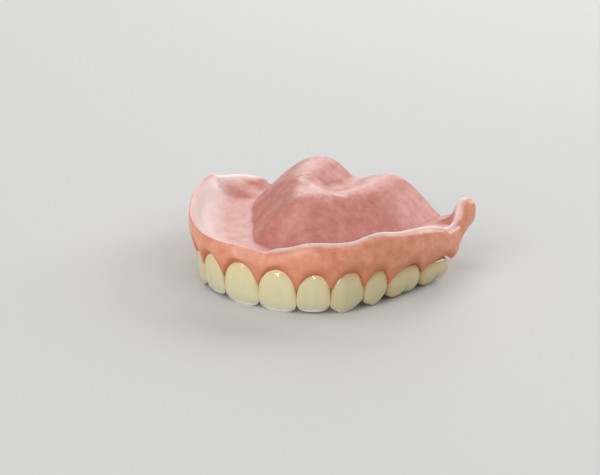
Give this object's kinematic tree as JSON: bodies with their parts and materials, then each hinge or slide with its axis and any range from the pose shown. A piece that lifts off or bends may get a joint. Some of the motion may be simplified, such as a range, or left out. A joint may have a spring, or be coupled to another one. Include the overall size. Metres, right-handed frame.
{
  "type": "full upper denture",
  "caption": "Full upper denture in pink acrylic with its own prefabricated teeth, lying on the teeth with the fitting side, palate and rim upwards.",
  "frame": {"origin": "middle of the footprint, on the biting plane that the teeth stand on", "axes": "+X to the wearer's left, +Y to the back of the palate, +Z from the biting edges to the fitting side"},
  "size_m": [0.0628, 0.047, 0.0191],
  "materials": {
    "denture_base_acrylic": "polished heat-cured denture acrylic, slightly translucent, with fine red fibres",
    "tooth_acrylic": "polished layered tooth acrylic, warm at the neck and paler at the edge"
  },
  "bodies": {
    "root": {"denture_base": "denture_base_acrylic", "central_incisor_left": "tooth_acrylic", "lateral_incisor_left": "tooth_acrylic", "canine_left": "tooth_acrylic", "premolar_left": "tooth_acrylic", "first_molar_left": "tooth_acrylic", "second_molar_left": "tooth_acrylic", "central_incisor_right": "tooth_acrylic", "lateral_incisor_right": "tooth_acrylic", "canine_right": "tooth_acrylic", "premolar_right": "tooth_acrylic", "first_molar_right": "tooth_acrylic", "second_molar_right": "tooth_acrylic"}
  },
  "joints": []
}
